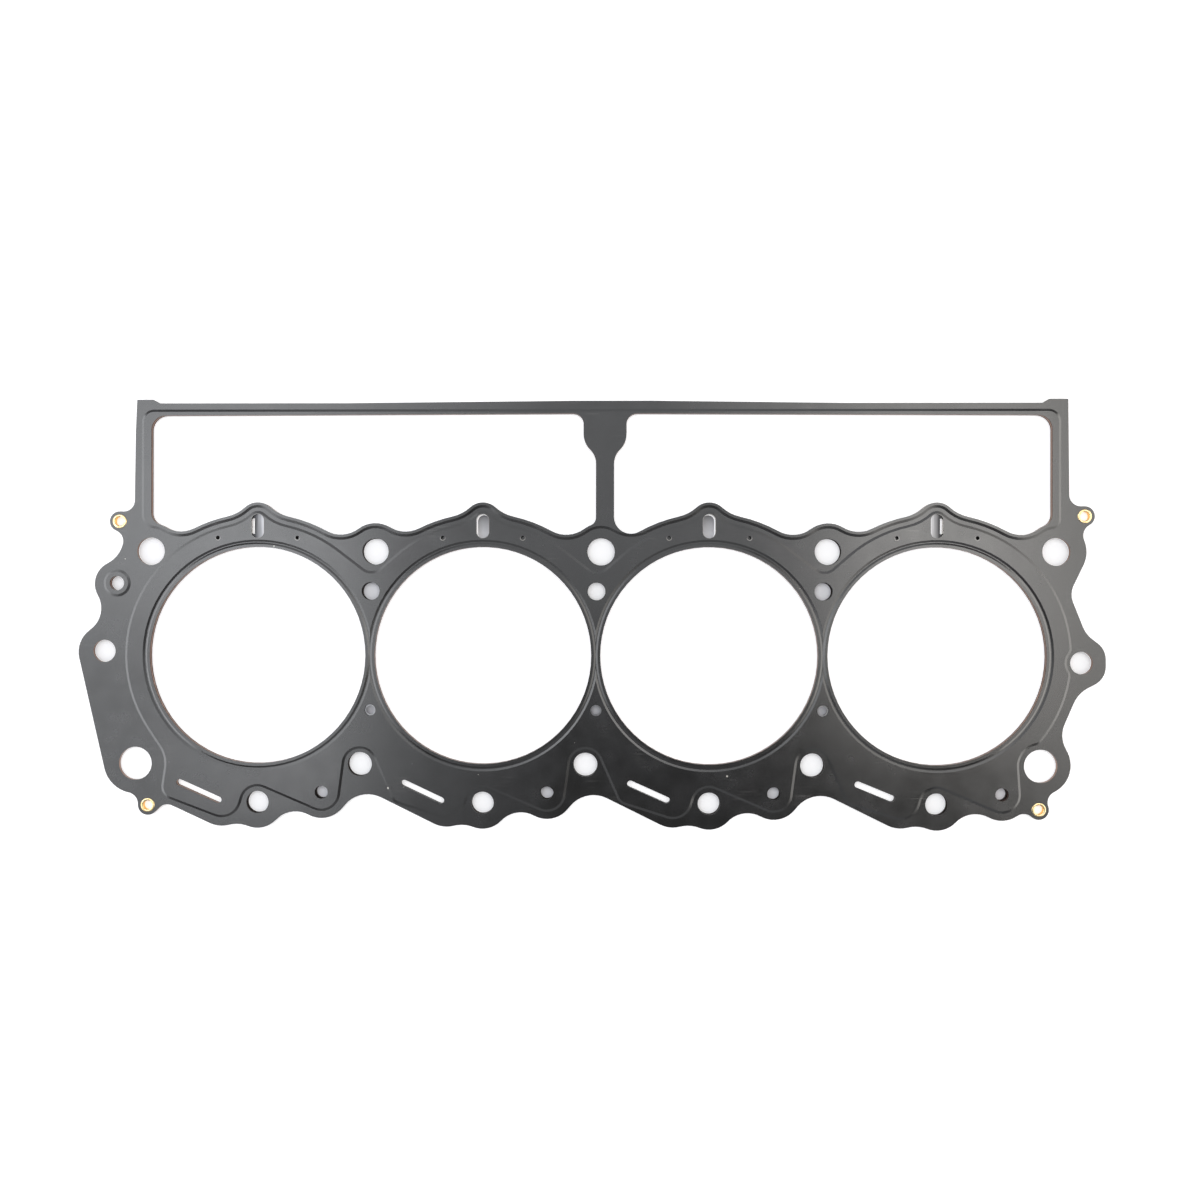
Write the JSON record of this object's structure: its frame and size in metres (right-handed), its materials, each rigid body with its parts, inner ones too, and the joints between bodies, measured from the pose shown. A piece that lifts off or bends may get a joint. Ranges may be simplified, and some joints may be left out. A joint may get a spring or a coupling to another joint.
{
  "type": "cylinder head gasket",
  "caption": "Flat multi-layer steel head gasket for a bank of inline cylinders, with beaded bore rings, a raised coolant zone, bolt and coolant holes and two long windows.",
  "frame": {"origin": "middle of the bore row, on the underside that lies on the block deck", "axes": "+X along the bank of cylinders, +Y from the bores towards the two windows, +Z from the block to the head"},
  "size_m": [0.4539, 0.1899, 0.0021],
  "materials": {
    "rubber_coating": "satin black fluoro-rubber film on spring steel",
    "core_steel": "bare rolled stainless steel",
    "rivet_brass": "bright pale yellow"
  },
  "bodies": {
    "root": {"upper_bead_layer": "rubber_coating", "core_layer": "core_steel", "lower_bead_layer": "rubber_coating", "eyelet_rivet_upper_left": "rivet_brass", "eyelet_rivet_upper_right": "rivet_brass", "eyelet_rivet_lower_left": "rivet_brass", "eyelet_rivet_lower_right": "rivet_brass"}
  },
  "joints": []
}
